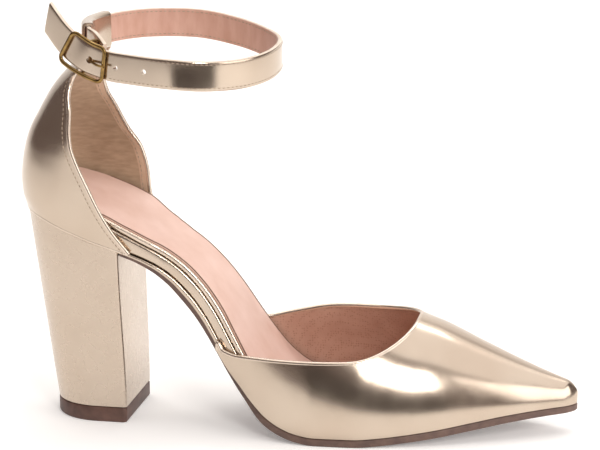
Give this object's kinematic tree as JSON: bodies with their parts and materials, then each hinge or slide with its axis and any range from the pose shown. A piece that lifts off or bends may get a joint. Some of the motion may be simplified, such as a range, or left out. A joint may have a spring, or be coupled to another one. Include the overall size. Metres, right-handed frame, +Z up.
{
  "type": "ankle strap pump",
  "caption": "Right pointed-toe pump with a block heel, an open waist, a heel counter with a tab and a buckled ankle strap.",
  "frame": {"origin": "centre of the underside of the heel's top piece, on the floor", "axes": "+X to the toe, -Y to the outer side with the buckle, +Y to the inner side, +Z up"},
  "size_m": [0.2347, 0.077, 0.1772],
  "materials": {
    "metallic_leather": "champagne gold foil on leather, near mirror gloss",
    "sock_leather": "pale pink lining, matt",
    "sole_rubber": "brown, satin",
    "heel_cover": "champagne gold foil over a plastic block",
    "top_piece": "brown, satin",
    "buckle_metal": "antique gold plate, polished"
  },
  "bodies": {
    "root": {"outsole": "sole_rubber", "insole_board": "metallic_leather", "sock": "sock_leather", "vamp": "metallic_leather", "counter": "metallic_leather", "heel": "heel_cover", "heel_lift": "top_piece", "ankle_strap": "metallic_leather", "strap_sleeve": "metallic_leather", "buckle_frame": "buckle_metal", "buckle_prong": "buckle_metal"}
  },
  "joints": []
}
